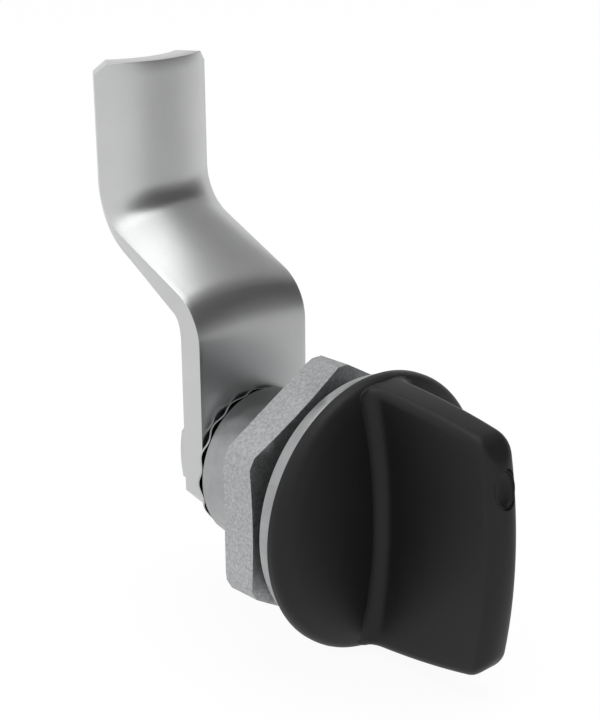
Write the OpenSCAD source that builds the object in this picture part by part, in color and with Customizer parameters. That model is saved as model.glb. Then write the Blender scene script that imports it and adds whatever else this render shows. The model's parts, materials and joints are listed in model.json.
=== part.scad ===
// Quarter-turn cam latch with a wing knob, for a panel door.
// The barrel's axis is Y: the knob faces -Y, the cam is at the +Y end and points up.
// The origin is the centre of the flange's back face, which the panel lies against.

/* [Housing] */
// Diameter of the housing's flange
flange_d = 29.1; // [28:0.1:32]
// Thickness of the housing's flange
flange_t = 2; // [1.9:0.1:3]
// Diameter of the barrel over its thread
barrel_d = 18; // [17.6:0.1:18.4]
// Length of the barrel behind the flange
barrel_l = 16.05; // [14:0.05:20]
// Depth of the flat along the barrel's underside that stops it from turning in the panel
barrel_flat = 0.8; // [0.4:0.1:1]
// Depth of the pocket at the barrel's end that holds the retaining ring
pocket_deep = 2.6; // [2.2:0.1:3.2]

/* [Spindle] */
// Diameter of the spindle's shaft
shaft_d = 9.9; // [9.6:0.1:10.2]
// Width across the square at both ends of the spindle
square_w = 7; // [6.4:0.1:7]
// Depth of the tapped hole in the spindle's end
tap_deep = 11; // [9:0.5:12]
// Angle that the knob turns through from stop to stop
turn = 90; // [60:5:90]
// Angle that the knob's stop lug takes up
lug_angle = 40; // [30:5:50]

/* [Nut] */
// Width across the nut's flats
nut_af = 27; // [26:0.5:30]
// Thickness of the nut
nut_t = 4.6; // [3.5:0.1:6]
// Gap between the flange and the nut, where the panel goes
panel_gap = 2.05; // [2.05:0.05:4]
// How much the turning takes off each corner of the nut
nut_corner = 0.39; // [0.2:0.01:0.8]

/* [Knob] */
// Diameter of the knob's round base
knob_d = 31; // [30:0.5:34]
// Height of the knob from its underside to the wing's outer end
knob_h = 19.3; // [17:0.1:24]
// Diameter of the knob's hub inside the housing
hub_d = 12; // [11.6:0.1:12.4]
// Length of the hub behind the knob's underside
hub_l = 7; // [6:0.5:8]
// Length of the wing along its root
wing_l = 30.2; // [29:0.1:30.6]
// How much the wing's two edges lean in towards its outer end, each
wing_taper = 2.25; // [0.5:0.05:3.5]
// Thickness of the wing at the middle of its root
wing_waist = 3.1; // [2.8:0.1:5]
// How much thicker the wing's root is at its two ends
wing_flare = 1.8; // [0.6:0.1:3]
// Thickness of the wing at its outer end
wing_tip = 4.2; // [3.8:0.1:5]
// How far the wing's outer end is bowed back at its two corners
wing_bow = 1.4; // [0:0.1:2]
// Radius of the wing's outer corners
wing_corner = 2.5; // [1.5:0.1:4]
// Depth of the rounding across the wing's outer end
wing_nose = 1.6; // [0.8:0.1:2.4]
// Radius of the wing's long edges at its two ends
wing_edge = 0.9; // [0.6:0.1:1.4]
// Radius of the fillet between the wing and the base
root_fillet = 1.6; // [0.8:0.1:2]
// Length of the oval marker dot along the wing's edge
dot_l = 4.3; // [3.4:0.1:4.6]
// Width of the marker dot across the wing's edge
dot_w = 3; // [2.4:0.1:3.2]
// Distance of the marker dot from the wing's upper edge
dot_inset = 4.75; // [4:0.05:6]

/* [Cam] */
// Width of the cam's strip
cam_w = 16; // [15:0.5:20]
// Thickness of the cam's strip
cam_t = 3.2; // [2.5:0.1:4]
// Height of the cam above the barrel's axis
cam_reach = 44.8; // [42:0.1:60]
// How far the cam goes on below the barrel's axis
cam_foot = 6.8; // [6.4:0.1:9]
// Height of the cam's sharp lower corners below the axis
foot_corner = 2.4; // [1:0.1:4]
// How far the crank carries the cam back
crank_back = 17.3; // [15:0.1:22]
// Angle of the crank from upright
crank_angle = 65; // [55:1:75]
// Height at which the first bend starts
crank_start = 15.4; // [13:0.1:18]
// Inner radius of both bends
bend_r = 3; // [2:0.1:4]
// Radius of the arched upper part across its front
arch_r = 13; // [11:0.5:30]
// Size of the bevels on the cam's top corners
cam_bevel = 1.2; // [0.5:0.1:3]

/* [Fasteners and washers] */
// Thread diameter of the cam's bolt
bolt_d = 6; // [5:0.1:6]
// Width across the flats of the bolt's head
bolt_af = 10; // [8:0.5:11]
// Height of the bolt's head
bolt_head = 4; // [3:0.1:5]
// Thickness of the toothed lock washer under the bolt's head
lock_t = 0.7; // [0.5:0.1:1]
// Number of teeth on the lock washer
lock_teeth = 12; // [8:1:16]
// Height of the crinkled washer between the barrel and the cam
crinkle_h = 0.82; // [0.7:0.01:1.2]
// Sheet thickness of the crinkled washer
crinkle_t = 0.25; // [0.2:0.01:0.3]
// Number of waves round the crinkled washer
waves = 16; // [10:1:20]
// Diameter of the cross pin that holds the knob on the spindle
pin_d = 2.5; // [2:0.1:2.8]
// Thickness of the thrust washer under the knob's hub
thrust_t = 0.6; // [0.4:0.1:1]
// Thickness of the retaining ring
ring_t = 1; // [0.8:0.1:1.2]
// Thickness of the shim washer under the retaining ring
shim_t = 0.5; // [0.3:0.1:0.7]

/* [Seals] */
// Cord diameter of the seal between the flange and the panel
panel_seal_d = 1.4; // [1.2:0.1:1.5]
// Cord diameter of the seal under the knob
knob_seal_d = 1; // [0.8:0.1:1.1]
// Cord diameter of the seal on the spindle
spindle_seal_d = 1.3; // [1.1:0.1:1.4]

/* [Clearances] */
// Gap all round a shaft that turns in its hole
run_gap = 0.06; // [0.03:0.01:0.1]
// Gap all round a part that is pushed or screwed into its hole
fit_gap = 0.02; // [0.01:0.01:0.05]
// Gap between faces that turn past each other
face_gap = 0.15; // [0.1:0.01:0.25]

/* [Hidden] */
$fn = 96;

// Places along the barrel's axis
knob_back = -flange_t - face_gap;
knob_front = knob_back - knob_h;
hub_end = knob_back + hub_l;
bore_start = hub_end + thrust_t + 2 * fit_gap + face_gap;
socket_top = knob_back - 1.9;
cam_front = barrel_l + crinkle_h;
cam_back = cam_front + cam_t;
square_end = cam_back - face_gap;
head_front = cam_back + lock_t;
nut_front = panel_gap;
pin_y = (knob_back + hub_end) / 2 + 1;
seal_y = bore_start + 2.4;
pocket_y = barrel_l - pocket_deep;

// The stop inside the flange's front face
lug_r = hub_d / 2 + 2.2;
lug_t = flange_t * 0.6;
stop_slack = 0.3;

// Seals and their grooves
panel_groove_r = barrel_d / 2 + 0.35 + panel_seal_d / 2;
groove_side = 0.12;
knob_groove_r = (panel_groove_r + panel_seal_d / 2 + groove_side + flange_d / 2) / 2;

// The knob's domed base
rim_h = 0.7;
rim_round = 1.2;
dome_h = 3;
dome_drop = 1.2;

// Steps in the curved outlines
side_steps = 8;
corner_steps = 4;
row_steps = 7;
fillet_steps = 5;
nose_steps = 5;
// Share of its thickness that the wing's outer end has lost at its tip
nose_share = 0.95;

// Turns a shape drawn along Z so that it runs from y0 towards +Y
module along_y(y0 = 0) {
    translate([0, y0, 0]) rotate([-90, 0, 0]) children();
}

module rod(d, y0, y1) {
    along_y(y0) cylinder(d = d, h = y1 - y0);
}

module square_rod(w, y0, y1) {
    translate([-w / 2, y0, -w / 2]) cube([w, y1 - y0, w]);
}

module cord_ring(r, cord_d, y) {
    along_y(y) rotate_extrude() translate([r, 0]) circle(d = cord_d, $fn = 32);
}

// A ring groove, from y0 to y1, for a cord seal
module groove(r, w, y0, y1) {
    difference() {
        rod(2 * r + w, y0, y1);
        rod(2 * r - w, y0 - 1, y1 + 1);
    }
}

// A wedge about the axis between two angles, counted from +Z towards +X
module wedge(a0, a1, r, y0, y1) {
    along_y(y0) linear_extrude(y1 - y0)
        polygon(concat([[0, 0]], [for (i = [0:6]) let (a = a0 + (a1 - a0) * i / 6)
            1.3 * r * [sin(a), -cos(a)]]));
}

// Joins loops of points, one above the other, into a closed skin. Each end is closed with a
// strip between the loop's first half and its second half.
module skin(loops) {
    n = len(loops[0]);
    m = len(loops);
    sides = [for (i = [0:m - 2], j = [0:n - 1]) let (k = (j + 1) % n)
        each [[i * n + j, (i + 1) * n + k, i * n + k], [i * n + j, (i + 1) * n + j, (i + 1) * n + k]]];
    first = [for (j = [0:n / 2 - 2]) each [[j, j + 1, n - 2 - j], [j, n - 2 - j, n - 1 - j]]];
    last = [for (f = first) (m - 1) * n * [1, 1, 1] + [f[0], f[2], f[1]]];
    polyhedron(points = [for (l = loops) each l], faces = concat(sides, first, last), convexity = 6);
}

// Housing: a round flange with a threaded barrel behind it

module housing() {
    color("silver") difference() {
        union() {
            along_y(-flange_t) rotate_extrude() polygon([[0, 0], [flange_d / 2 - 0.3, 0],
                [flange_d / 2, 0.3], [flange_d / 2, flange_t - 0.15],
                [flange_d / 2 - 0.15, flange_t], [0, flange_t]]);
            difference() {
                along_y(-0.5) rotate_extrude() polygon([[0, 0], [barrel_d / 2, 0],
                    [barrel_d / 2, barrel_l + 0.2], [barrel_d / 2 - 0.3, barrel_l + 0.5],
                    [0, barrel_l + 0.5]]);
                translate([-barrel_d, 0, -barrel_d / 2 - 2 + barrel_flat])
                    cube([2 * barrel_d, barrel_l + 1, 2]);
            }
        }
        rod(hub_d + 2 * run_gap, -flange_t - 1, bore_start);
        rod(shaft_d + 2 * run_gap, 0, barrel_l + 1);
        rod(pocket_d(), pocket_y, barrel_l + 1);
        stop_recess();
        groove(panel_groove_r, panel_seal_d + 2 * groove_side, -panel_seal_d * 0.8, 1);
        groove(knob_groove_r, knob_seal_d + 2 * groove_side, -flange_t - 1, knob_seal_y() + knob_seal_d / 2);
    }
}

function pocket_d() = shaft_d + 4.1;
function knob_seal_y() = -flange_t - 0.05 + knob_seal_d / 2;

module stop_recess() {
    half = (turn + lug_angle) / 2 + stop_slack;
    intersection() {
        rod(2 * (lug_r + 0.2), -flange_t - 1, -flange_t + lug_t + 0.2);
        wedge(-half, half, lug_r, -flange_t - 2, 0);
    }
}

module panel_seal() {
    color("dimgray") cord_ring(panel_groove_r, panel_seal_d, -panel_seal_d * 0.3);
}

module knob_seal() {
    color("dimgray") cord_ring(knob_groove_r, knob_seal_d, knob_seal_y());
}

// Nut: its corners are turned round, and a cone bevels its front face

module hex_nut() {
    corner_r = nut_af / 2 / cos(30) - nut_corner;
    front_r = nut_af / 2 - 0.3;
    color("lightgray") difference() {
        intersection() {
            along_y(nut_front) rotate([0, 0, 30]) cylinder(d = nut_af / cos(30), h = nut_t, $fn = 6);
            along_y(nut_front) rotate_extrude() polygon([[0, 0], [front_r, 0], [corner_r, 0.6],
                [corner_r, nut_t - 0.1], [corner_r - 0.3, nut_t], [0, nut_t]]);
        }
        rod(barrel_d + 2 * fit_gap, nut_front - 1, nut_front + nut_t + 1);
        along_y(nut_front - 0.01) cylinder(d1 = barrel_d + 1.2, d2 = barrel_d, h = 0.6);
    }
}

// Knob: a domed base, a wing and a hub that turns in the housing

// Height of the dome above the knob's underside, at distance r from the axis
function dome(r) = dome_h - dome_drop * pow(2 * r / knob_d, 2);

// Share of the wing's height reached at height u above the knob's underside
function rise(u) = max(0, min(1, (u - dome_h) / (knob_h - dome_h)));

// Half the wing's length, at height u above the knob's underside
function wing_half_l(u) = wing_l / 2 - wing_taper * (0.4 * rise(u) + 0.6 * pow(rise(u), 2));

// How far the wing is bowed back at height u and at place s along it, from -1 to 1
function bow(u, s) = wing_bow * pow(rise(u) * s, 2);

// Half the wing's thickness at height u and at place s along it, from -1 to 1
function wing_half_t(u, s) = (1 - rise(u)) * (wing_waist + wing_flare * s * s) / 2 + rise(u) * wing_tip / 2;

// One loop round the wing, at share v of its height and grown outwards by grow
function wing_loop(v, grow) = let (r = wing_edge)
    [for (q = [0:3]) let (sx = q < 2 ? 1 : -1, sz = q == 0 || q == 3 ? -1 : 1, flip = q == 1 || q == 3)
        each concat(
            [for (i = [0:corner_steps]) let (a = 90 * (flip ? corner_steps - i : i) / corner_steps)
                wing_point(v, grow, sx, sz, r, a)],
            q % 2 == 0 ? [for (i = [1:side_steps - 1]) wing_side(v, grow, sx,
                sz * (1 - 2 * i / side_steps), r)] : [])];

// Height above the knob's underside, at share v of the way up from the dome and at place z
function wing_u(v, z) = let (u0 = dome(min(abs(z), knob_d / 2 - 1))) u0 + v * (knob_h - u0);

function wing_point(v, grow, sx, sz, r, a) =
    let (z0 = wing_l / 2, u = wing_u(v, z0), l = wing_half_l(u), t = wing_half_t(u, 1))
    [sx * (t - r + (r + grow) * sin(a)), knob_back - u + bow(u, 1), sz * (l - r + r * cos(a))];

function wing_side(v, grow, sx, s, r) =
    let (z = s * wing_l / 2, u = wing_u(v, z), l = wing_half_l(u))
    [sx * (wing_half_t(u, s) + grow), knob_back - u + bow(u, s), s * (l - r)];

// The fillet at the wing's root, as outward growth at height h above the dome
function fillet_grow(h) = h >= root_fillet ? 0
    : root_fillet - sqrt(pow(root_fillet, 2) - pow(root_fillet - h, 2));

module wing() {
    root = root_fillet / knob_h;
    top = 1 - wing_corner / knob_h;
    foot_rows = [for (i = [0:fillet_steps]) let (h = root_fillet * (1 - cos(90 * i / fillet_steps)))
        wing_loop(h / knob_h, fillet_grow(h))];
    main_rows = [for (i = [1:row_steps]) wing_loop(root + (top - root) * i / row_steps, 0)];
    nose_rows = [for (i = [1:nose_steps]) nose_loop(top + (1 - top) * sin(90 * i / nose_steps))];
    skin(concat([wing_loop(-0.06, root_fillet)], foot_rows, main_rows, nose_rows));
}

// How far a quarter circle of radius r has drawn in at depth d below its top
function round_off(r, d) = d >= r ? 0 : r - sqrt(r * r - pow(r - d, 2));

// A loop near the wing's outer end, at share v of its height, where its corners and its edge
// round over
function nose_loop(v) =
    let (depth = (1 - v) * knob_h, shorter = round_off(wing_corner, depth),
        thinner = nose_share * round_off(wing_nose, depth) / wing_nose)
    [for (p = wing_loop(v, 0)) [p[0] * (1 - thinner), p[1], p[2] * (1 - shorter * 2 / wing_l)]];

module wing_knob() {
    color([0.13, 0.13, 0.13]) difference() {
        union() {
            along_y(knob_back) mirror([0, 0, 1]) rotate_extrude() knob_profile();
            wing();
            rod(hub_d, knob_back - 0.5, hub_end);
            intersection() {
                rod(2 * lug_r, knob_back - 0.5, knob_back + face_gap + lug_t);
                wedge(-turn / 2 - lug_angle / 2, -turn / 2 + lug_angle / 2, lug_r, knob_back - 1, 0);
            }
        }
        square_rod(square_w + 2 * fit_gap, socket_top, hub_end + 1);
        translate([-hub_d, pin_y, 0]) rotate([0, 90, 0]) cylinder(d = pin_d + 2 * fit_gap, h = 2 * hub_d, $fn = 32);
        dot_hole();
    }
}

// Half outline of the base: straight rim, rounded edge, then the dome
module knob_profile() {
    r = knob_d / 2;
    arc = [for (i = [0:5]) let (a = 78 * i / 5) [r - rim_round + rim_round * cos(a), rim_h + rim_round * sin(a)]];
    top = [for (i = [0:8]) let (x = (r - rim_round) * (1 - i / 8)) [x, dome(x)]];
    polygon(concat([[0, 0], [r, 0]], arc, top));
}

dot_z = wing_l / 2 - wing_taper - dot_inset;
dot_deep = 1.6;

// Puts a shape drawn about the Y axis at the marker dot's place, square to the bowed end
module at_dot() {
    half = wing_l / 2 - wing_taper;
    translate([0, knob_front + wing_bow * pow(dot_z / half, 2), dot_z])
        rotate([-atan(2 * wing_bow * dot_z / pow(half, 2)), 0, 0]) children();
}

// An oval plug about the Y axis, from y0 to y1
module oval(w, l, y0, y1) {
    along_y(y0) linear_extrude(y1 - y0) polygon([for (i = [0:35]) [w / 2 * cos(10 * i), l / 2 * sin(10 * i)]]);
}

module dot_hole() {
    at_dot() oval(dot_w, dot_l, -1, dot_deep);
}

// The dot is sunk in the wing's end and dished
module marker_dot() {
    dish_r = 4;
    sink = 0.5;
    color([0.1, 0.1, 0.1]) at_dot() difference() {
        oval(dot_w - 2 * fit_gap, dot_l - 2 * fit_gap, sink, dot_deep);
        translate([0, sink - dish_r + 0.35, 0]) sphere(r = dish_r, $fn = 64);
    }
}

module cross_pin() {
    l = hub_d - 0.6;
    color("gray") translate([-l / 2, pin_y, 0]) rotate([0, 90, 0]) difference() {
        cylinder(d = pin_d, h = l, $fn = 32);
        translate([0, 0, -1]) cylinder(d = pin_d * 0.55, h = l + 2, $fn = 32);
        translate([0, -0.25, -1]) cube([pin_d, 0.5, l + 2]);
    }
}

// Spindle: a round shaft with a square at each end

module spindle() {
    neck = shaft_d - 1.96 * spindle_seal_d;
    color("darkgray") difference() {
        union() {
            square_rod(square_w, socket_top + 0.2, square_end);
            rod(shaft_d, hub_end + 0.1, cam_front);
        }
        groove((shaft_d + neck) / 4 + 1, (shaft_d - neck) / 2 + 2, seal_y - spindle_seal_d / 2 - groove_side,
            seal_y + spindle_seal_d / 2 + groove_side);
        groove(shaft_d / 2, 0.6, ring_y() - 0.03, ring_y() + ring_t + 0.03);
        rod(bolt_d + 2 * fit_gap, square_end - tap_deep, square_end + 1);
        translate([0, pin_y, 0]) rotate([0, 90, 0])
            cylinder(d = pin_d + 2 * fit_gap, h = 2 * hub_d, center = true, $fn = 32);
    }
}

function ring_y() = pocket_y + shim_t + 0.1;

module spindle_seal() {
    r = shaft_d / 2 - spindle_seal_d / 2 + run_gap / 2;
    color("dimgray") cord_ring(r, spindle_seal_d - 0.02, seal_y);
}

// Thrust washer: the knob's hub turns on it at the bottom of its bore
module thrust_washer() {
    color("white") difference() {
        rod(hub_d - 0.2, bore_start - fit_gap - thrust_t, bore_start - fit_gap);
        rod(shaft_d + 2 * run_gap + 0.1, hub_end, bore_start + 1);
    }
}

module shim_washer() {
    color("silver") difference() {
        rod(pocket_d() - 0.5, pocket_y + 0.05, pocket_y + 0.05 + shim_t);
        rod(shaft_d + 2 * run_gap, pocket_y - 1, pocket_y + 2);
    }
}

// Retaining ring: an open ring with two ears that have plier holes
module retaining_ring() {
    in_r = shaft_d / 2 - 0.28;
    out_r = pocket_d() / 2 - 0.5;
    open_half = 16; // half the angle of the ring's opening
    ear_angle = 24; // from the opening's middle to each ear
    eye_d = 0.7; // the plier holes
    color("gray") along_y(ring_y()) linear_extrude(ring_t) difference() {
        union() {
            difference() {
                circle(r = out_r);
                polygon([[0, 0], 2 * out_r * [sin(-open_half), cos(open_half)],
                    2 * out_r * [sin(open_half), cos(open_half)]]);
            }
            for (s = [-1, 1]) rotate(s * ear_angle) translate([0, (in_r + out_r) / 2 + 0.05])
                circle(d = out_r - in_r + 0.3, $fn = 32);
        }
        circle(r = in_r);
        for (s = [-1, 1]) rotate(s * ear_angle) translate([0, (in_r + out_r) / 2]) circle(d = eye_d, $fn = 24);
    }
}

// Crinkled washer: sheet metal waves round the spindle between the barrel's end and the cam
module crinkle_washer() {
    in_r = shaft_d / 2 + 0.3;
    out_r = barrel_d / 2;
    lift = crinkle_h - crinkle_t - 2 * fit_gap;
    n = waves * 8;
    y0 = barrel_l + fit_gap;
    points = [for (i = [0:n - 1]) let (a = 360 * i / n, y = y0 + lift * (0.5 + 0.5 * cos(a * waves + 40)))
        each [[in_r * sin(a), y, in_r * cos(a)], [out_r * sin(a), y, out_r * cos(a)],
            [out_r * sin(a), y + crinkle_t, out_r * cos(a)], [in_r * sin(a), y + crinkle_t, in_r * cos(a)]]];
    faces = [for (i = [0:n - 1], j = [0:3]) let (k = (j + 1) % 4, m = (i + 1) % n)
        each [[4 * i + j, 4 * i + k, 4 * m + k], [4 * i + j, 4 * m + k, 4 * m + j]]];
    color([0.1, 0.1, 0.1]) polyhedron(points = points, faces = faces, convexity = 10);
}

// Cam: a flat strip, cranked back twice, whose upper part is arched

bend_out = bend_r + cam_t;
straight = (crank_back - (bend_out + 2 * bend_r) * (1 - cos(crank_angle))) / sin(crank_angle);

// Path of the strip's front edges: y, z, lean and share of the full arch
bend_1 = [for (i = [0:6]) let (a = crank_angle * i / 6)
    [cam_front + bend_out * (1 - cos(a)), crank_start + bend_out * sin(a), a, 0]];
slope = [for (i = [1:3]) let (s = i / 4)
    [bend_1[6][0] + s * straight * sin(crank_angle), bend_1[6][1] + s * straight * cos(crank_angle),
        crank_angle, fade(s * 0.7)]];
slope_end = bend_1[6] + [straight * sin(crank_angle), straight * cos(crank_angle), 0, 0];
bend_2 = [for (i = [0:6]) let (a = crank_angle * (1 - i / 6), s = 0.7 + 0.3 * i / 6)
    [slope_end[0] + 2 * bend_r * (cos(a) - cos(crank_angle)),
        slope_end[1] + 2 * bend_r * (sin(crank_angle) - sin(a)), a, fade(s)]];
cam_path = concat([[cam_front, -cam_foot, 0, 0]], bend_1, slope, bend_2,
    [[bend_2[6][0], cam_reach, 0, 1]]);

function fade(s) = s * s * (3 - 2 * s);
function arch(x) = arch_r - sqrt(arch_r * arch_r - x * x);

// One point of the strip: row p of the path, place x across it, on the front or the back
function cam_point(p, x, back) =
    let (bulge = p[3] * (arch(cam_w / 2) - arch(x)),
        tilt = atan(p[3] * x / sqrt(arch_r * arch_r - x * x)),
        n = [sin(tilt), -cos(p[2]) * cos(tilt), sin(p[2]) * cos(tilt)])
    [x, p[0] - cos(p[2]) * bulge, p[1] + sin(p[2]) * bulge] - (back ? cam_t : 0) * n;

module cam() {
    across = [for (i = [0:10]) cam_w * (i / 10 - 0.5)];
    color("silver") difference() {
        skin([for (p = cam_path) concat([for (x = across) cam_point(p, x, false)],
            [for (i = [10:-1:0]) cam_point(p, across[i], true)])]);
        square_rod(square_w + 2 * fit_gap, cam_front - 1, cam_back + 1);
        for (s = [-1, 1]) {
            foot_cut(s);
            top_cut(s);
        }
    }
}

// Takes the lower corner off the cam's foot
module foot_cut(s) {
    along_y(cam_front - 1) linear_extrude(cam_t + 2) polygon([[s * cam_w, foot_corner],
        [s * cam_w / 2, foot_corner], [s * 1.8, cam_foot], [s * 1.8, cam_foot + 2], [s * cam_w, cam_foot + 2]]);
}

// Bevels one of the cam's top corners
module top_cut(s) {
    x = s * cam_w / 2;
    z = -cam_reach;
    along_y(cam_front) linear_extrude(crank_back + cam_t + 5)
        polygon([[x - s * cam_bevel, z], [x, z + cam_bevel], [x + s, z + cam_bevel], [x + s, z - 1],
            [x - s * cam_bevel, z - 1]]);
}

// Toothed lock washer and bolt that hold the cam on the spindle

module lock_washer() {
    r = bolt_af / 2 + 0.4;
    notch = [1.4, 0.7]; // length and width of the cut beside each tooth
    notch_lean = 20;
    color("gray") along_y(cam_back) linear_extrude(lock_t) difference() {
        circle(r = r);
        circle(d = bolt_d + 0.4);
        for (i = [0:lock_teeth - 1]) rotate(360 * i / lock_teeth) translate([r, 0])
            rotate(notch_lean) square(notch, center = true);
    }
}

module cam_bolt() {
    r = bolt_af / 2;
    color("lightgray") {
        intersection() {
            along_y(head_front) rotate([0, 0, 30]) cylinder(d = bolt_af / cos(30), h = bolt_head, $fn = 6);
            along_y(head_front) rotate_extrude() polygon([[0, 0], [r / cos(30), 0],
                [r / cos(30), bolt_head - 0.5], [r * 0.94, bolt_head], [0, bolt_head]]);
        }
        rod(bolt_d, square_end - tap_deep + 1.5, head_front);
    }
}

housing();
panel_seal();
knob_seal();
hex_nut();
wing_knob();
marker_dot();
cross_pin();
spindle();
spindle_seal();
thrust_washer();
shim_washer();
retaining_ring();
crinkle_washer();
cam();
lock_washer();
cam_bolt();
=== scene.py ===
import json
import math
import bmesh
import bpy
from mathutils import Matrix, Vector

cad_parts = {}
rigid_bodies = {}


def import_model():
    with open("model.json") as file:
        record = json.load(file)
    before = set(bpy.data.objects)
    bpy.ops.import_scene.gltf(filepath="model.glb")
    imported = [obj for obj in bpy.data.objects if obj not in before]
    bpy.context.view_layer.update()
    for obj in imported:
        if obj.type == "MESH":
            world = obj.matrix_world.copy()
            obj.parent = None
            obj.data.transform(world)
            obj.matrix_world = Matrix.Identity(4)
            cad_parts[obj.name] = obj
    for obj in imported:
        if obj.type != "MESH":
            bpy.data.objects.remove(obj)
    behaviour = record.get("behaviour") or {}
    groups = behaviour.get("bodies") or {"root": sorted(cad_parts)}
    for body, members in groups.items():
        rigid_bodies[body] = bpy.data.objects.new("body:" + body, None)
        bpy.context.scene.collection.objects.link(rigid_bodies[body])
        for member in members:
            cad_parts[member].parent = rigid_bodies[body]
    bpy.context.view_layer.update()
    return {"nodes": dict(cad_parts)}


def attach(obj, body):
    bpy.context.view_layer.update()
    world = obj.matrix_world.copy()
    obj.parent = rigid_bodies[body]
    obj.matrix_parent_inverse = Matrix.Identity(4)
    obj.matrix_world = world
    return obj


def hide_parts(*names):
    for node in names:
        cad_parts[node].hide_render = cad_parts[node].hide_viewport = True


for leftOver in list(bpy.data.objects):
    bpy.data.objects.remove(leftOver)
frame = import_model()
mm = 0.001


class Shade:  # a shader value that adds, multiplies and mixes as a number does
    def __init__(self, tree, socket=None):
        self.tree = tree
        self.socket = socket

    def node(self, kind, settings=None, sockets=None, output=0):
        made = self.tree.nodes.new("ShaderNode" + kind)
        for name, value in (settings or {}).items():
            setattr(made, name, value)
        for name, value in (sockets or {}).items():
            if isinstance(value, Shade):
                self.tree.links.new(value.socket, made.inputs[name])
            else:
                made.inputs[name].default_value = value
        return Shade(self.tree, made.outputs[output])

    def maths(self, operation, *values):
        return self.node("Math", {"operation": operation}, dict(enumerate(values)))

    def __add__(self, other):
        return self.maths("ADD", self, other)

    def __radd__(self, other):
        return self.maths("ADD", other, self)

    def __sub__(self, other):
        return self.maths("SUBTRACT", self, other)

    def __mul__(self, other):
        return self.maths("MULTIPLY", self, other)

    def clip(self):
        return self.maths("MINIMUM", self.maths("MAXIMUM", self, 0.0), 1.0)

    def between(self, low, high):  # 0 below low, 1 above high
        return ((self - low) * (1 / (high - low))).clip()

    def mixed(self, first, second):  # this value is the share of the second colour
        return self.node("Mix", {"data_type": "RGBA"}, {0: self, 6: first, 7: second}, 2)


def newMaterial(name):
    material = bpy.data.materials.new(name)
    material.use_nodes = True
    tree = material.node_tree
    shader = tree.nodes["Principled BSDF"]
    here = Shade(tree).node("TexCoord", output=3)  # object coordinates
    return material, tree, shader, here


def plug(tree, shader, **inputs):
    for name, value in inputs.items():
        socket = shader.inputs[name.replace("_", " ")]
        if isinstance(value, Shade):
            tree.links.new(value.socket, socket)
        else:
            socket.default_value = value


def noise(here, scale, detail, rough=0.5):
    return here.node("TexNoise", sockets={"Vector": here, "Scale": scale, "Detail": detail,
                                          "Roughness": rough})


def bumpy(height, strength, depth):
    return height.node("Bump", sockets={"Height": height, "Strength": strength,
                                        "Distance": depth})


plastic = {"colour": (0.0095, 0.0095, 0.010, 1), "worn": (0.015, 0.015, 0.0155, 1),
           "rough": 0.42, "shine": 0.3, "clouds": 140, "grain": 5200, "bump": 0.12,
           "depth": 0.00004}


def knobPlastic():
    p = plastic
    material, tree, shader, here = newMaterial("knobPlastic")
    cloud = noise(here, p["clouds"], 5, 0.6)
    grain = noise(here, p["grain"], 2)
    plug(tree, shader,
         Base_Color=(cloud.between(0.35, 0.75) * 0.5).mixed(p["colour"], p["worn"]),
         Roughness=p["rough"] + grain * 0.08 + cloud * 0.06,
         Specular_IOR_Level=p["shine"], Normal=bumpy(grain, p["bump"], p["depth"]))
    return material


def metal(name, light, dark, rough, grains=0.0, grainScale=3200, cloudScale=90,
          depth=0.000004, wave=0.0):
    # light and dark are the two colours that soft clouds and fine grains mix
    material, tree, shader, here = newMaterial(name)
    cloud = noise(here, cloudScale, 5, 0.6)
    fine = noise(here, grainScale, 6, 0.85)
    tone = cloud.between(0.3, 0.7)
    if grains:
        tone = (tone * (1 - grains) + fine.between(0.36, 0.64) * grains).clip()
    bump = bumpy(fine, 0.3, depth)
    if wave:  # a cast skin that isn't quite even
        swell = noise(here, cloudScale, 1)
        bump = here.node("Bump", sockets={"Height": swell, "Strength": 1.0, "Distance": wave,
                                          "Normal": bump})
    plug(tree, shader, Metallic=1.0, Base_Color=tone.mixed(dark, light),
         Roughness=(rough + fine * 0.08 - tone * 0.04).clip(), Normal=bump)
    return material


def grey(value, blue=1.02):
    return (value, value * (1 + (blue - 1) / 2), value * blue, 1)


def dullMaterial(name, first, second, rough, scale, bump, depth):
    material, tree, shader, here = newMaterial(name)
    cloud = noise(here, scale, 4)
    plug(tree, shader, Base_Color=cloud.between(0.3, 0.8).mixed(first, second),
         Roughness=rough + cloud * 0.1, Normal=bumpy(cloud, bump, depth))
    return material


knobFinish = knobPlastic()
zincFinish = metal("brightZinc", grey(0.40, 1.03), grey(0.31, 1.03), 0.34, cloudScale=260,
                   depth=0.000002, wave=0.0004)
steelFinish = metal("platedSteel", grey(0.60, 1.01), grey(0.54, 1.01), 0.34, grains=0.35,
                    grainScale=4200)
nutFinish = metal("platedNut", grey(0.57, 1.03), grey(0.28, 1.04), 0.46, grains=0.85,
                  grainScale=2600, depth=0.00001)
blackFinish = metal("blackSteel", grey(0.03), grey(0.015), 0.35, grains=0.3)
springFinish = metal("springSteel", grey(0.25), grey(0.17), 0.35, grains=0.3)
# the black washer's sheared rim: bare metal, coloured bright as a painted highlight line
bareEdgeHighlightFinish = metal("bareEdgeHighlight", grey(0.6), grey(0.4), 0.4, grains=0.4)
rubberFinish = dullMaterial("sealRubber", (0.012, 0.012, 0.012, 1), (0.03, 0.03, 0.03, 1),
                            0.6, 900, 0.2, 0.00003)
acetalFinish = dullMaterial("paleAcetal", (0.72, 0.70, 0.64, 1), (0.62, 0.60, 0.55, 1),
                            0.4, 300, 0.1, 0.00002)
finishOf = {"wing_knob": knobFinish, "marker_dot": knobFinish, "housing": zincFinish,
            "hex_nut": nutFinish, "crinkle_washer": blackFinish, "cam": steelFinish,
            "lock_washer": steelFinish, "cam_bolt": steelFinish, "spindle": steelFinish,
            "shim_washer": steelFinish, "cross_pin": springFinish,
            "retaining_ring": springFinish, "thrust_washer": acetalFinish,
            "spindle_seal": rubberFinish, "knob_seal": rubberFinish,
            "panel_seal": rubberFinish}
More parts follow.
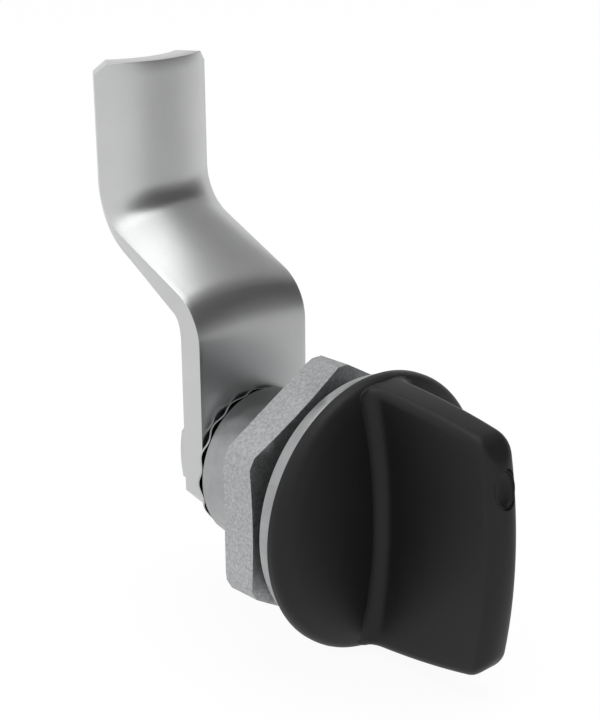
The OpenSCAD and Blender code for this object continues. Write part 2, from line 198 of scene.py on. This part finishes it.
for node, finish in finishOf.items():
    mesh = frame["nodes"][node].data
    mesh.materials.clear()
    mesh.materials.append(finish)
print("materials made")


# Pieces are shaped in millimetres and made metres at the end
def openPiece():
    if bpy.context.object and bpy.context.object.mode == "EDIT":
        bpy.ops.object.mode_set(mode="OBJECT")
    bpy.ops.object.select_all(action="DESELECT")


def takeUp(piece):  # selects this piece alone and makes it the active one
    bpy.ops.object.select_all(action="DESELECT")
    piece.select_set(True)
    bpy.context.view_layer.objects.active = piece


def pick(kind, test):  # selects what passes the test, by place or normal
    bpy.ops.mesh.select_mode(type=kind)
    bpy.ops.mesh.select_all(action="DESELECT")
    shape = bmesh.from_edit_mesh(bpy.context.object.data)
    if kind == "EDGE":
        chosen = [e for e in shape.edges if test(e.verts[0].co, e.verts[1].co)]
    else:
        chosen = [f for f in shape.faces if test(f.calc_center_median(), f.normal)]
    for part in chosen:
        part.select_set(True)
    shape.select_flush_mode()
    bmesh.update_edit_mesh(bpy.context.object.data)


def pickPoints(indices):
    bpy.ops.mesh.select_mode(type="VERT")
    bpy.ops.mesh.select_all(action="DESELECT")
    shape = bmesh.from_edit_mesh(bpy.context.object.data)
    shape.verts.ensure_lookup_table()
    for index in indices:
        shape.verts[index].select_set(True)
    shape.select_flush_mode()
    bmesh.update_edit_mesh(bpy.context.object.data)


def move(x=0, y=0, z=0):
    bpy.ops.transform.translate(value=(x, y, z))


def stretch(x=1, y=1, z=1, about=(0, 0, 0)):
    bpy.ops.transform.resize(value=(x, y, z), center_override=about)


def extrude(x=0, y=0, z=0):
    bpy.ops.mesh.extrude_region_move(TRANSFORM_OT_translate={"value": (x, y, z)})


def weld(gap=0.001):
    bpy.ops.mesh.select_all(action="SELECT")
    bpy.ops.mesh.remove_doubles(threshold=gap)
    bpy.ops.mesh.normals_make_consistent(inside=False)


def weldPiece(piece):
    takeUp(piece)
    bpy.ops.object.mode_set(mode="EDIT")
    weld()
    bpy.ops.object.mode_set(mode="OBJECT")


def applyModifier(piece, kind, **settings):
    takeUp(piece)
    modifier = piece.modifiers.new("shape", kind)
    for name, value in settings.items():
        setattr(modifier, name, value)
    bpy.ops.object.modifier_apply(modifier="shape")


def combine(piece, tool, operation):
    applyModifier(piece, "BOOLEAN", operation=operation, solver="EXACT", object=tool)
    bpy.data.objects.remove(tool)


def softenEdges(piece, width, steps=3, angle=32):
    applyModifier(piece, "BEVEL", width=width, segments=steps, limit_method="ANGLE",
                  angle_limit=math.radians(angle), use_clamp_overlap=True,
                  miter_outer="MITER_ARC")


def joinTo(piece, *others):
    takeUp(piece)
    for other in others:
        other.select_set(True)
    bpy.ops.object.join()


def applyPlace():
    bpy.ops.object.transform_apply(location=True, rotation=True, scale=True)


def finishPiece(piece, name, body, nodes, material, smooth=35):
    takeUp(piece)
    piece.scale = (mm, mm, mm)
    applyPlace()
    bpy.ops.object.shade_smooth_by_angle(angle=math.radians(smooth))
    piece.name = name
    piece.data.name = name
    piece.data.materials.clear()
    piece.data.materials.append(material)
    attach(piece, body)
    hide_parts(*nodes)
    print(name, len(piece.data.polygons), "faces")
    return piece


def turnedPiece(points, steps, closed=False):  # (radius, y) points swung round the axis
    openPiece()
    bpy.ops.mesh.primitive_plane_add(size=1, location=(0, 0, 0))
    piece = bpy.context.object
    bpy.ops.object.mode_set(mode="EDIT")
    bpy.ops.mesh.select_all(action="SELECT")
    bpy.ops.mesh.merge(type="CENTER")
    move(points[0][0], points[0][1])
    for (r0, y0), (r1, y1) in zip(points, points[1:]):
        bpy.ops.mesh.extrude_vertices_move(
            TRANSFORM_OT_translate={"value": (r1 - r0, y1 - y0, 0)})
    bpy.ops.mesh.select_all(action="SELECT")
    if closed:
        bpy.ops.mesh.edge_face_add()
        bpy.ops.mesh.delete(type="ONLY_FACE")
        bpy.ops.mesh.select_all(action="SELECT")
    bpy.ops.mesh.spin(steps=steps, angle=2 * math.pi, center=(0, 0, 0), axis=(0, 1, 0))
    weld()
    bpy.ops.object.mode_set(mode="OBJECT")
    return piece


def arcTurns(steps, degrees=90):  # angles of the points along an arc, from 0
    return [math.radians(degrees * i / steps) for i in range(steps + 1)]


def hexBlank(flats, y0, y1):  # a hexagon with two corners at top and bottom
    openPiece()
    bpy.ops.mesh.primitive_cylinder_add(
        vertices=6, radius=flats / 2 / math.cos(math.pi / 6), depth=y1 - y0,
        location=(0, (y0 + y1) / 2, 0), rotation=(math.pi / 2, 0, 0))
    applyPlace()
    return bpy.context.object


# Grooves are their inner and outer radius and their depth
housing = {"rim": 14.55, "thick": 2.0, "barrel": 9.0, "end": 16.05, "bore": 5.01,
           "pocket": 7.0, "pocketDeep": 2.6, "hubBore": 6.06, "hubDeep": 5.64,
           "recess": 8.4, "recessDeep": 1.4, "panelGroove": (9.25, 10.85, 1.1),
           "knobGroove": (12.05, 13.25, 1.0), "rimRound": 0.8, "backBevel": 0.15,
           "endBevel": 0.3, "root": 9.05, "rootLong": 0.35, "flat": 8.2, "flatStart": 0.2,
           "cutter": (24, 23.6, 4), "edge": 0.08, "around": 128}


def makeHousing():
    h = housing
    front, end, rim, barrel = -h["thick"], h["end"], h["rim"], h["barrel"]
    pocketFloor, recessFloor = end - h["pocketDeep"], front + h["recessDeep"]
    inside = [(h["hubBore"], recessFloor), (h["hubBore"], h["hubDeep"]),
              (h["bore"], h["hubDeep"]), (h["bore"], pocketFloor), (h["pocket"], pocketFloor),
              (h["pocket"], end - h["endBevel"]), (h["pocket"] + h["endBevel"], end)]
    inner, outer, deep = h["panelGroove"]
    back = [(barrel - h["endBevel"], end), (barrel, end - h["endBevel"]),
            (barrel, h["rootLong"]), (h["root"], 0), (inner, 0), (inner, -deep),
            (outer, -deep), (outer, 0), (rim - h["backBevel"], 0), (rim, -h["backBevel"])]
    rimArc = [(rim - h["rimRound"] * (1 - math.cos(turn)),
               front + h["rimRound"] * (1 - math.sin(turn))) for turn in arcTurns(8)]
    inner, outer, deep = h["knobGroove"]
    face = [(outer, front), (outer, front + deep), (inner, front + deep), (inner, front),
            (h["recess"], front), (h["recess"], recessFloor)]
    body = turnedPiece(inside + back + rimArc + face, h["around"], closed=True)
    wide, long, high = h["cutter"]
    openPiece()
    bpy.ops.mesh.primitive_cube_add(
        size=1, location=(0, h["flatStart"] + long / 2, -h["flat"] - high / 2),
        scale=(wide, long, high))
    combine(body, bpy.context.object, "DIFFERENCE")
    softenEdges(body, h["edge"], 2)
    return finishPiece(body, "housing_casting", "fixed", ["housing"], zincFinish)


nut = {"flats": 27.0, "front": 2.05, "thick": 4.6, "corner": 15.2, "faceRing": 13.2,
       "cone": 0.34, "backBevel": (0.4, 0.12), "bore": 9.02, "mouth": 9.9,
       "mouthDeep": (0.1, 0.8), "edge": 0.12, "around": 160, "boreAround": 128}


def makeNut():
    n = nut
    front, back, corner = n["front"], n["front"] + n["thick"], n["corner"]
    body = hexBlank(n["flats"], front, back)
    across, along = n["backBevel"]
    lathe = turnedPiece([(0, front), (n["faceRing"], front), (corner, front + n["cone"]),
                         (corner, back - along), (corner - across, back), (0, back)], n["around"])
    combine(body, lathe, "INTERSECT")
    bore, mouth = n["bore"], n["mouth"]
    start, deep = n["mouthDeep"]
    drill = turnedPiece([(0, front - 1), (mouth, front - 1), (mouth, front + start),
                         (bore, front + deep), (bore, back - deep), (mouth, back - start),
                         (mouth, back + 1), (0, back + 1)], n["boreAround"])
    combine(body, drill, "DIFFERENCE")
    softenEdges(body, n["edge"], 3)
    return finishPiece(body, "panel_nut", "fixed", ["hex_nut"], nutFinish)


# back, end, hubEnd and socketTop are places along the axis; rows are the loops of the mesh
knob = {"back": -2.15, "end": -21.45, "radius": 15.5, "dome": 3.0, "drop": 1.2, "rim": 0.7,
        "rimRound": 1.2, "rimTurn": 80, "backBevel": 0.25, "length": 15.1, "taper": 2.25,
        "waist": 1.55, "flare": 0.9, "tip": 2.1, "corner": 2.5, "edge": 1.2, "nose": 1.6,
        "noseShare": 0.95, "bow": 1.4, "fillet": 1.6, "sunk": 0.8, "hub": 6.0, "hubEnd": 4.85,
        "socket": 4.97, "socketTop": -4.05, "holeEdge": 0.13, "around": 160,
        "rows": {"edge": 6, "length": 19, "fillet": 8, "side": 12, "nose": 14, "rim": 8,
                 "dome": 10, "cage": (2, 10, 13)}}
dot = {"wide": 1.5, "long": 2.15, "z": 8.1, "deep": 1.6, "sink": 0.32, "gap": 0.05,
       "backGap": 0.02, "rim": 0.22, "bevel": 0.07, "lip": (0.08, 0.1), "dish": 0.5,
       "cutter": 1.5, "around": 72}


def domeHeight(r):
    return knob["dome"] - knob["drop"] * (r / knob["radius"]) ** 2


def wingRise(u):
    tall = knob["back"] - knob["end"]
    return max(0.0, min(1.0, (u - knob["dome"]) / (tall - knob["dome"])))


def wingLength(u):
    return knob["length"] - knob["taper"] * (0.4 * wingRise(u) + 0.6 * wingRise(u) ** 2)


def wingThick(u, share):
    foot = knob["waist"] + knob["flare"] * share ** 2
    return foot + (knob["tip"] - foot) * wingRise(u)


def roundOff(radius, depth):  # how far a quarter circle has drawn in at a depth below its top
    return 0.0 if depth >= radius else radius - math.sqrt(radius ** 2 - (radius - depth) ** 2)


def filletGrowth(height):
    r = knob["fillet"]
    return 0.0 if height >= r else r - math.sqrt(r * r - (r - max(height, 0)) ** 2)


def shapeWithCage(piece, low, high, counts, place):  # a lattice moved to where place() says
    data = bpy.data.lattices.new("cage")
    data.points_u, data.points_v, data.points_w = counts
    for name in ("interpolation_type_u", "interpolation_type_v", "interpolation_type_w"):
        setattr(data, name, "KEY_CATMULL_ROM")
    cage = bpy.data.objects.new("cage", data)
    bpy.context.scene.collection.objects.link(cage)
    first = [min(point.co[i] for point in data.points) for i in range(3)]
    last = [max(point.co[i] for point in data.points) for i in range(3)]
    unit = [(high[i] - low[i]) / (last[i] - first[i]) for i in range(3)]
    cage.location = [low[i] - first[i] * unit[i] for i in range(3)]
    cage.scale = unit
    for point in data.points:
        to = place(*[low[i] + (point.co[i] - first[i]) * unit[i] for i in range(3)])
        point.co_deform = [first[i] + (to[i] - low[i]) / unit[i] for i in range(3)]
    bpy.context.view_layer.update()
    applyModifier(piece, "LATTICE", object=cage)
    bpy.data.objects.remove(cage)


def makeWing():
    # a rounded outline is extruded outwards and drawn in at its end, then a cage gives it
    # its waist and lean
    k, rows = knob, knob["rows"]
    tall = k["back"] - k["end"]
    half = k["waist"] + k["flare"]
    foot = k["back"] - k["dome"]
    openPiece()
    bpy.ops.mesh.primitive_plane_add(size=2, rotation=(math.pi / 2, 0, 0))
    applyPlace()
    wing = bpy.context.object
    bpy.ops.object.mode_set(mode="EDIT")
    bpy.ops.mesh.select_all(action="SELECT")
    stretch(half, 1, k["length"])
    move(y=foot + k["sunk"])
    bpy.ops.mesh.select_mode(type="VERT")
    bpy.ops.mesh.bevel(offset=k["edge"], offset_type="OFFSET", segments=rows["edge"],
                       affect="VERTICES")
    straight = k["length"] - k["edge"]
    pick("EDGE", lambda a, b: abs(a.x - b.x) < 1e-3 and abs(a.z - b.z) > straight)
    bpy.ops.mesh.subdivide(number_cuts=rows["length"])
    bpy.ops.mesh.select_all(action="SELECT")
    heights = [k["fillet"] * (1 - math.cos(turn)) for turn in arcTurns(rows["fillet"])]
    shoulder = tall - k["dome"] - k["corner"]
    heights += [k["fillet"] + (shoulder - k["fillet"]) * i / rows["side"]
                for i in range(1, rows["side"] + 1)]
    at = -k["sunk"]
    for height in heights:
        extrude(y=at - height)
        at = height
    wide, long = 1.0, 1.0
    for turn in arcTurns(rows["nose"])[1:]:
        height = shoulder + k["corner"] * math.sin(turn)
        extrude(y=at - height)
        at = height
        depth = shoulder + k["corner"] - height
        narrower = 1 - k["noseShare"] * roundOff(k["nose"], depth) / k["nose"]
        shorter = 1 - roundOff(k["corner"], depth) / (k["length"] - k["taper"])
        stretch(narrower / wide, 1, shorter / long)
        wide, long = narrower, shorter
    weld()
    bpy.ops.object.mode_set(mode="OBJECT")
    points = [v.co.copy() for v in wing.data.vertices]

    def place(x, y, z):
        rise = max(0.0, foot - y)
        u = k["dome"] + rise
        share = min(1.0, abs(z) / k["length"])
        low = domeHeight(abs(z)) - k["dome"]
        lift = low * (1 - wingRise(u)) if y < foot else low
        bow = k["bow"] * wingRise(u) ** 2 * share ** 2
        return (x * wingThick(u, share) / half, y - lift + bow, z * wingLength(u) / k["length"])

    shapeWithCage(wing, (-half, k["end"], -k["length"]), (half, foot + k["sunk"], k["length"]),
                  rows["cage"], place)
    fillWingRoot(points, heights[:rows["fillet"]], foot, half)
    return wing


def fillWingRoot(points, heights, foot, half):
    # the fillet at the root, which sinks as the dome does; points are those of the plain wing
    k = knob
    bpy.ops.object.mode_set(mode="EDIT")
    for height in heights:
        growth = filletGrowth(height)
        level = [i for i, co in enumerate(points)
                 if abs(foot - height - co.y) < 1e-3 or (height == 0 and co.y > foot)]
        for turn in arcTurns(k["rows"]["edge"]):
            share = math.sin(turn)
            place = half - k["edge"] + k["edge"] * share
            out = half - k["edge"] + (k["edge"] + growth) * share
            sink = k["drop"] * (out / k["radius"]) ** 2 * (1 - height / k["fillet"])
            if height == 0:
                sink += 0.015  # just under the dome's skin
            for side in (-1, 1):
                ring = [i for i in level if abs(abs(points[i].x) - place) < 0.01
                        and points[i].x * side > 0]
                if ring:
                    pickPoints(ring)
                    move(x=side * growth * share, y=sink)
    bpy.ops.object.mode_set(mode="OBJECT")


def atDot(piece):  # squeezes a turned piece to an oval and sets it on the wing's bowed end
    end = knob["length"] - knob["taper"]
    piece.scale = (dot["wide"] / dot["long"], 1, 1)
    piece.rotation_euler = (-math.atan(2 * knob["bow"] * dot["z"] / end ** 2), 0, 0)
    piece.location = (0, knob["end"] + knob["bow"] * (dot["z"] / end) ** 2, dot["z"])
    takeUp(piece)
    applyPlace()


def makeKnob():
    k, rows = knob, knob["rows"]
    wing = makeWing()
    r, top = dot["long"], -dot["cutter"]
    hole = turnedPiece([(0, top), (r, top), (r, dot["deep"]), (0, dot["deep"])], dot["around"])
    atDot(hole)
    combine(wing, hole, "DIFFERENCE")
    softenEdges(wing, k["holeEdge"], 3, 48)
    back, r = k["back"], k["radius"]
    inner = r - k["rimRound"]
    outline = [(0, k["socketTop"]), (k["socket"], k["socketTop"]), (k["socket"], k["hubEnd"]),
               (k["hub"], k["hubEnd"]), (k["hub"], back), (r - k["backBevel"], back),
               (r, back - k["backBevel"])]
    outline += [(r - k["rimRound"] * (1 - math.cos(turn)),
                 back - k["rim"] - k["rimRound"] * math.sin(turn))
                for turn in arcTurns(rows["rim"], k["rimTurn"])]
    for i in range(rows["dome"] + 1):
        across = inner * (1 - i / rows["dome"])
        outline.append((across, back - domeHeight(across)))
    base = turnedPiece(outline, k["around"])
    joinTo(base, wing)
    return finishPiece(base, "knob_moulding", "rotor", ["wing_knob"],
                       knobFinish, 40)


def makeDot():
    d = dot
    r, inner = d["long"] - d["gap"], d["long"] - d["gap"] - d["rim"]
    across, along = d["lip"]
    outline = [(0, d["deep"] - d["backGap"]), (r, d["deep"] - d["backGap"]),
               (r, d["sink"] + d["bevel"]), (r - d["bevel"], d["sink"]), (inner, d["sink"])]
    outline += [((inner - across) * math.cos(turn),
                 d["sink"] + along + d["dish"] * math.sin(turn)) for turn in arcTurns(8)]
    piece = turnedPiece(outline, d["around"])
    atDot(piece)
    return finishPiece(piece, "knob_marker_dot", "rotor", ["marker_dot"], knobFinish)


# archAtBend is the share of the arch where the slope meets the upper bend
cam = {"half": 8.0, "thick": 3.2, "front": 16.87, "foot": -6.8, "footSide": -2.4,
       "footFlat": 1.8, "bendStart": 15.4, "lean": 65.0, "bendInside": 3.0, "back": 17.16,
       "top": 44.77, "arch": 13.0, "archAtBend": 0.7, "archFade": 1.1, "corner": 1.2,
       "square": 3.52, "edge": 0.22,
       "rows": {"across": 20, "foot": 12, "bend": 12, "slope": 10, "top": 8,
                "cage": (13, 2, 40)}}


def makeCam():
    c, rows = cam, cam["rows"]
    lean = math.radians(c["lean"])
    outer, inner = c["bendInside"] + c["thick"], 2 * c["bendInside"]
    openPiece()
    bpy.ops.mesh.primitive_grid_add(
        x_subdivisions=rows["across"], y_subdivisions=rows["foot"], size=1,
        location=(0, c["front"], (c["foot"] + c["bendStart"]) / 2),
        rotation=(math.pi / 2, 0, 0))
    sheet = bpy.context.object
    sheet.scale = (2 * c["half"], c["bendStart"] - c["foot"], 1)
    applyPlace()
    bpy.ops.object.mode_set(mode="EDIT")

    def pickEnd(y, z):
        pick("EDGE", lambda a, b: all(math.hypot(p.y - y, p.z - z) < 0.02 for p in (a, b)))

    y, z = c["front"], c["bendStart"]
    pickEnd(y, z)
    bpy.ops.mesh.spin(steps=rows["bend"], angle=lean, center=(0, y + outer, z), axis=(1, 0, 0))
    y, z = y + outer * (1 - math.cos(lean)), z + outer * math.sin(lean)
    weld()
    length = (c["back"] - (outer + inner) * (1 - math.cos(lean))) / math.sin(lean)
    step = length / rows["slope"]
    for i in range(rows["slope"]):
        pickEnd(y, z)
        extrude(y=step * math.sin(lean), z=step * math.cos(lean))
        y, z = y + step * math.sin(lean), z + step * math.cos(lean)
    slopeTop = z
    pickEnd(y, z)
    middle = (0, y - inner * math.cos(lean), z + inner * math.sin(lean))
    bpy.ops.mesh.spin(steps=rows["bend"], angle=-lean, center=middle, axis=(1, 0, 0))
    y, z = y + inner * (1 - math.cos(lean)), z + inner * math.sin(lean)
    weld()
    bendTop = z
    for i in range(rows["top"]):
        pickEnd(y, z)
        extrude(z=(c["top"] - bendTop) / rows["top"])
        z += (c["top"] - bendTop) / rows["top"]
    weld()
    footLean = c["footFlat"] - c["half"]
    for side in (-1, 1):
        edge = side * c["half"]
        for point, normal in (((edge, y, c["top"] - c["corner"]), (side, 0, 1)),
                              ((edge, 0, c["footSide"]),
                               (side * (c["footSide"] - c["foot"]), 0, footLean))):
            bpy.ops.mesh.select_all(action="SELECT")
            bpy.ops.mesh.bisect(plane_co=point, plane_no=normal, clear_outer=True)
    bpy.ops.object.mode_set(mode="OBJECT")

    def place(px, py, pz):  # the upper part is arched, fading out down the slope
        if pz < slopeTop:
            above = max(0.0, pz - c["bendStart"])
            share = c["archAtBend"] * (above / (slopeTop - c["bendStart"])) ** c["archFade"]
            tilt = math.asin(min(math.sin(lean), above / outer))
        else:
            above = pz - slopeTop
            share = min(1.0, c["archAtBend"]
                        + (1 - c["archAtBend"]) * above / (bendTop - slopeTop))
            tilt = math.asin(max(0.0, math.sin(lean) - above / inner))
        share = share * share * (3 - 2 * share)
        rise = (math.sqrt(max(0, c["arch"] ** 2 - px ** 2))
                - math.sqrt(c["arch"] ** 2 - c["half"] ** 2))
        return (px, py - rise * share * math.cos(tilt), pz + rise * share * math.sin(tilt))

    shapeWithCage(sheet, (-c["half"], c["front"], c["foot"]), (c["half"], y + 0.1, c["top"]),
                  rows["cage"], place)
    applyModifier(sheet, "SOLIDIFY", thickness=c["thick"], offset=1, use_even_offset=True)
    weldPiece(sheet)
    openPiece()
    bpy.ops.mesh.primitive_cube_add(size=1, location=(0, c["front"] + c["thick"] / 2, 0),
                                    scale=(2 * c["square"], 10, 2 * c["square"]))
    combine(sheet, bpy.context.object, "DIFFERENCE")
    softenEdges(sheet, c["edge"], 3, 40)
    return finishPiece(sheet, "cranked_cam", "rotor", ["cam"], steelFinish, 30)


crinkle = {"inner": 5.25, "outer": 8.82, "waves": 16, "steps": 12, "rings": 3, "low": 16.09,
           "height": 0.5, "sheet": 0.24, "phase": 40, "brightEdge": 0.03}


def makeCrinkle():
    c = crinkle
    count = c["waves"] * c["steps"]
    openPiece()
    bpy.ops.mesh.primitive_circle_add(vertices=count, radius=c["inner"],
                                      location=(0, c["low"], 0), rotation=(math.pi / 2, 0, 0))
    applyPlace()
    ring = bpy.context.object
    bpy.ops.object.mode_set(mode="EDIT")
    bpy.ops.mesh.select_all(action="SELECT")
    at = c["inner"]
    for i in range(1, c["rings"] + 1):
        wider = c["inner"] + (c["outer"] - c["inner"]) * i / c["rings"]
        bpy.ops.mesh.extrude_edges_move()
        stretch(wider / at, 1, wider / at)
        at = wider
    weld()
    bpy.ops.object.mode_set(mode="OBJECT")
    turns = [math.degrees(math.atan2(v.co.x, v.co.z)) for v in ring.data.vertices]
    bpy.ops.object.mode_set(mode="EDIT")
    for step in range(c["steps"]):
        angle = 2 * math.pi * step / c["steps"] + math.radians(c["phase"])
        pickPoints([i for i, turn in enumerate(turns)
                    if round(turn / 360 * count) % c["steps"] == step])
        move(y=c["height"] * (0.5 + 0.5 * math.cos(angle)))
    bpy.ops.object.mode_set(mode="OBJECT")
    applyModifier(ring, "SOLIDIFY", thickness=c["sheet"], offset=1)
    weldPiece(ring)
    finishPiece(ring, "crinkled_spring_washer", "fixed", ["crinkle_washer"],
                blackFinish, 50)
    ring.data.materials.append(bareEdgeHighlightFinish)
    for face in ring.data.polygons:  # the sheared edge is bare metal, and its bright colour also paints the thin highlight line along the rim
        middle = math.hypot(face.center.x, face.center.z) / mm
        face.material_index = 1 if middle > c["outer"] - c["brightEdge"] else 0
    return ring


# frontCone and crown are (in from the flats or corners, along the axis), root, crest and
# point are radii, and flank is how far the thread rises and where its crest ends
bolt = {"flats": 10.0, "front": 20.77, "high": 4.0, "edge": 0.1, "spare": 0.02,
        "frontCone": (0.1, 0.3), "crownStart": 0.55, "crown": [(0.25, 0.05), (0.7, 0), (1.0, 0.12)],
        "tip": 10.42, "point": 2.3, "pointLong": 0.6, "root": 2.45, "crest": 2.98,
        "flank": (0.45, 0.58), "pitch": 1.0, "threadEnd": 1.4, "neck": 0.6, "runOut": 2.7,
        "inHead": 0.5, "around": 96, "shankAround": 48}
lockWasher = {"front": 20.08, "thick": 0.68, "inner": 3.2, "ring": 4.5, "teeth": 12,
              "tooth": 0.62, "sheet": 0.3, "reach": 1.3, "overlap": 0.25, "narrow": 0.72,
              "twist": 22, "edge": 0.06, "around": 96}


def makeBolt():
    b = bolt
    front, back, half = b["front"], b["front"] + b["high"], b["flats"] / 2
    head = hexBlank(b["flats"], front, back)
    wide = half / math.cos(math.pi / 6) + b["spare"]
    across, along = b["frontCone"]
    crown = [(half - inwards, back - down) for inwards, down in b["crown"]]
    lathe = turnedPiece([(0, front), (half - across, front), (wide, front + along),
                         (wide, back - b["crownStart"])] + crown + [(0, crown[-1][1])],
                        b["around"])
    combine(head, lathe, "INTERSECT")
    softenEdges(head, b["edge"], 3)
    turns = [(0, b["tip"]), (b["point"], b["tip"])]
    y = b["tip"] + b["pointLong"]
    rise, fall = b["flank"]
    while y < front - b["threadEnd"]:
        turns += [(b["root"], y), (b["crest"], y + rise), (b["crest"], y + fall)]
        y += b["pitch"]
    turns += [(b["runOut"], y), (b["crest"], front - b["neck"]),
              (b["crest"], front + b["inHead"]), (0, front + b["inHead"])]
    joinTo(head, turnedPiece(turns, b["shankAround"]))
    return finishPiece(head, "cam_hex_bolt", "rotor", ["cam_bolt"], steelFinish)


def makeLockWasher():
    w = lockWasher
    y0, y1 = w["front"], w["front"] + w["thick"]
    middle = (y0 + y1) / 2
    ring = turnedPiece([(w["inner"], y0), (w["ring"], y0), (w["ring"], y1), (w["inner"], y1)],
                       w["around"], closed=True)
    teeth = []
    for i in range(w["teeth"]):
        openPiece()
        bpy.ops.mesh.primitive_cube_add(
            size=1, location=(0, middle, w["ring"] + w["reach"] / 2 - w["overlap"]),
            scale=(w["tooth"] * 2, w["sheet"], w["reach"]),
            rotation=(0, 0, math.radians(w["twist"])))
        applyPlace()
        tooth = bpy.context.object
        bpy.ops.object.mode_set(mode="EDIT")
        pick("FACE", lambda centre, normal: normal.z > 0.9)
        stretch(w["narrow"], 1, 1, about=(0, middle, w["ring"] + w["reach"]))
        bpy.ops.object.mode_set(mode="OBJECT")
        tooth.rotation_euler.y = 2 * math.pi * i / w["teeth"]
        bpy.ops.object.transform_apply(rotation=True)
        teeth.append(tooth)
    joinTo(ring, *teeth)
    softenEdges(ring, w["edge"], 2)
    return finishPiece(ring, "toothed_lock_washer", "rotor", ["lock_washer"],
                       steelFinish)


makeHousing()
makeNut()
makeKnob()
makeDot()
makeCam()
makeCrinkle()
makeBolt()
makeLockWasher()
print("pieces modelled")

# The camera stands where the photograph was taken from; its place is in millimetres
view = {"turn": 42.71, "height": 19.21, "roll": -0.49, "place": (-115.09, -115.48, 73.28),
        "lens": 97.87, "sensor": 36, "nearest": 0.005}
keyLamp = {"place": (0.09, 0.0, 0.50), "aim": (0, 0.01, 0.01), "size": 0.62, "watts": 1.1}
floor = {"size": 3, "z": -0.0158, "tone": 0.86, "rough": 0.9, "whiteShare": 0.9, "white": 1.04}
world = {"glow": 0.55, "white": 1.0}


def makeCamera():
    turn, height, roll = (math.radians(view[name]) for name in ("turn", "height", "roll"))
    back = Vector((-math.sin(turn) * math.cos(height), -math.cos(turn) * math.cos(height),
                   math.sin(height)))
    side = Vector((math.cos(turn), -math.sin(turn), 0))
    up = back.cross(side)
    across = side * math.cos(roll) + up * math.sin(roll)
    upward = up * math.cos(roll) - side * math.sin(roll)
    data = bpy.data.cameras.new("camera")
    data.sensor_fit = "HORIZONTAL"
    data.sensor_width = view["sensor"]
    data.lens = view["lens"]
    data.clip_start = view["nearest"]
    camera = bpy.data.objects.new("camera", data)
    facing = Matrix((across, upward, back)).transposed().to_4x4()
    camera.matrix_world = Matrix.Translation(Vector(view["place"]) * mm) @ facing
    bpy.context.scene.collection.objects.link(camera)
    bpy.context.scene.camera = camera


def makeLamp(name, place, aim, size, watts):
    data = bpy.data.lights.new(name, "AREA")
    data.shape = "DISK"
    data.size = size
    data.energy = watts
    lamp = bpy.data.objects.new(name, data)
    lamp.location = place
    lamp.rotation_euler = (Vector(aim) - Vector(place)).to_track_quat("-Z", "Y").to_euler()
    bpy.context.scene.collection.objects.link(lamp)


def whiteWhereSeen(tree, lit, white, output, share=1.0):
    # plain white to the camera and in reflections, lit as usual for everything else
    rays = [Shade(tree).node("LightPath", output=name)
            for name in ("Is Camera Ray", "Is Glossy Ray", "Is Transmission Ray")]
    seen = (rays[0] + rays[1] + rays[2]).clip() * share
    both = Shade(tree).node("MixShader", sockets={0: seen, 1: Shade(tree, lit.outputs[0]),
                                                  2: white})
    tree.links.new(both.socket, tree.nodes[output].inputs[0])


def makeFloor():
    bpy.ops.object.select_all(action="DESELECT")
    bpy.ops.mesh.primitive_plane_add(size=floor["size"], location=(0, 0, floor["z"]))
    plane = bpy.context.object
    plane.name = "floor"
    material, tree, shader = newMaterial("paleFloor")[:3]
    tone = floor["tone"]
    plug(tree, shader, Base_Color=(tone, tone, tone, 1), Roughness=floor["rough"])
    white = Shade(tree).node("Emission", sockets={"Color": (1, 1, 1, 1),
                                                  "Strength": floor["white"]})
    whiteWhereSeen(tree, shader, white, "Material Output", floor["whiteShare"])
    plane.data.materials.append(material)


def aimed(turn, height, far):  # a place seen from the object: degrees from +X and upwards
    turn, height = math.radians(turn), math.radians(height)
    return (far * math.cos(turn) * math.cos(height), far * math.sin(turn) * math.cos(height),
            far * math.sin(height))


def makeCard(name, place, facing, wide, tall, low, high):
    # a plain card that only shows in the metal, with one tone at its lower edge and
    # another from its middle up
    bpy.ops.object.select_all(action="DESELECT")
    bpy.ops.mesh.primitive_plane_add(size=1, location=place)
    card = bpy.context.object
    card.name = name
    card.scale = (wide, tall, 1)
    card.rotation_euler = (Vector(facing) - Vector(place)).to_track_quat("Z", "Y").to_euler()
    material, tree, shader, here = newMaterial(name)
    height = here.node("SeparateXYZ", sockets={"Vector": here}, output=1)
    tone = height.between(-0.5, -0.02).mixed((low, low, low, 1), (high, high, high, 1))
    plug(tree, shader, Base_Color=tone, Roughness=0.9)
    card.data.materials.append(material)
    card.visible_camera = card.visible_diffuse = card.visible_shadow = False


def makeWorld():
    made = bpy.data.worlds.new("studio")
    bpy.context.scene.world = made
    made.use_nodes = True
    tree = made.node_tree
    glow = tree.nodes["Background"]
    glow.inputs["Color"].default_value = (1, 1, 1, 1)
    glow.inputs["Strength"].default_value = world["glow"]
    white = Shade(tree).node("Background", sockets={"Color": (1, 1, 1, 1),
                                                    "Strength": world["white"]})
    whiteWhereSeen(tree, glow, white, "World Output")


cards = [{"name": "frontCard", "place": aimed(-42, 38, 0.42), "facing": (0, 0, 0),
          "wide": 0.84, "tall": 0.64, "low": 0.45, "high": 0.03},
         {"name": "sideCard", "place": aimed(24, 46, 0.42), "facing": (0, 0, 0),
          "wide": 0.40, "tall": 0.34, "low": 0.6, "high": 0.42},
         {"name": "floorCard", "place": (0.14, -0.14, -0.0155), "facing": (0.14, -0.14, 1),
          "wide": 0.24, "tall": 0.24, "low": 0.95, "high": 0.75}]
bpy.context.scene.view_settings.view_transform = "Standard"
makeCamera()
makeWorld()
makeFloor()
makeLamp("keyLamp", **keyLamp)
for card in cards:
    makeCard(**card)
print("camera, world and lamps made")
